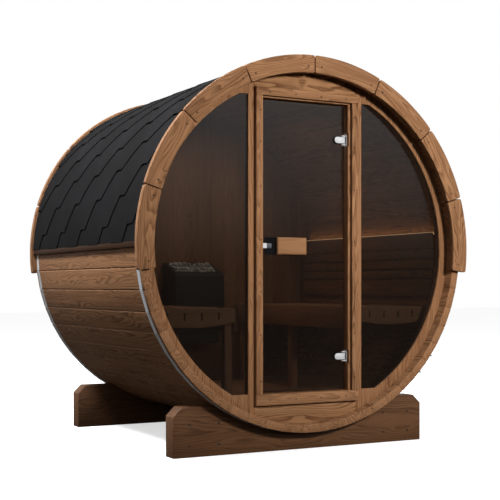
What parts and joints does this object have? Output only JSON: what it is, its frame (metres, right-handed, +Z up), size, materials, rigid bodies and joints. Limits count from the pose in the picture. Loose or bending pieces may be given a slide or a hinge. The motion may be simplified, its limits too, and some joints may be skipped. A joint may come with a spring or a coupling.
{
  "type": "barrel sauna",
  "caption": "Horizontal stave barrel sauna on two cradles, with a shingled upper half, a recessed glazed front wall, a hinged glass door, benches, backrests and a heater.",
  "frame": {"origin": "on the ground under the middle of the barrel, at the bottom centre of the whole object's box", "axes": "+X to the right as seen from the front, the front faces -Y, +Z up; the barrel's axis is parallel to Y"},
  "size_m": [2.06, 1.786, 2.129],
  "materials": {
    "stave_wood": "oiled softwood, fine grain with knots",
    "wall_wood": "oiled softwood panel, cathedral grain",
    "trim_wood": "oiled softwood, planed, with knots",
    "cradle_wood": "oiled heavy softwood, planed",
    "interior_wood": "smooth untreated softwood",
    "shingle": "black mineral-coated bitumen shingle",
    "band_steel": "galvanised satin steel",
    "hardware_steel": "satin stainless steel",
    "tinted_glass": "grey-brown tinted toughened glass",
    "latch_black": "matt black coated metal",
    "heater_casing": "dark grey powder coat",
    "stone": "rough broken heater stones",
    "light": "warm light strip diffuser"
  },
  "bodies": {
    "root": {"front_cradle": "cradle_wood", "rear_cradle": "cradle_wood", "staves_bottom": "stave_wood", "staves_lower_right": "stave_wood", "staves_upper_right": "stave_wood", "staves_top": "stave_wood", "staves_upper_left": "stave_wood", "staves_lower_left": "stave_wood", "front_trim_left": "trim_wood", "front_trim_right": "trim_wood", "rear_trim_left": "trim_wood", "rear_trim_right": "trim_wood", "roof_left": "shingle", "roof_right": "shingle", "eave_laths": "stave_wood", "front_band": "band_steel", "rear_band": "band_steel", "band_tensioners": "band_steel", "rear_wall": "wall_wood", "front_left_rim": "wall_wood", "front_right_rim": "wall_wood", "front_left_post": "trim_wood", "front_right_post": "trim_wood", "front_top_panel": "wall_wood", "front_bottom_panel": "wall_wood", "left_window": "tinted_glass", "right_window": "tinted_glass", "door_jambs": "trim_wood", "door_head": "trim_wood", "door_sill": "trim_wood", "door_stops": "trim_wood", "hinge_plates": "hardware_steel", "floor_boards": "interior_wood", "floor_joists": "interior_wood", "left_bench_seat": "interior_wood", "left_bench_frame": "interior_wood", "right_bench_seat": "interior_wood", "right_bench_frame": "interior_wood", "left_backrest": "interior_wood", "right_backrest": "interior_wood", "backrest_lights": "light", "heater_body": "heater_casing", "heater_stones": "stone"},
    "door": {"door_glass": "tinted_glass", "door_clips": "hardware_steel", "door_handle": "trim_wood", "door_latch": "latch_black"}
  },
  "joints": [
    {"name": "door_hinge", "type": "hinge", "parent": "root", "child": "door", "pos_m": [0.255, -0.767, 1.099], "axis": [0, 0, 1], "range_deg": [0, 90]}
  ]
}
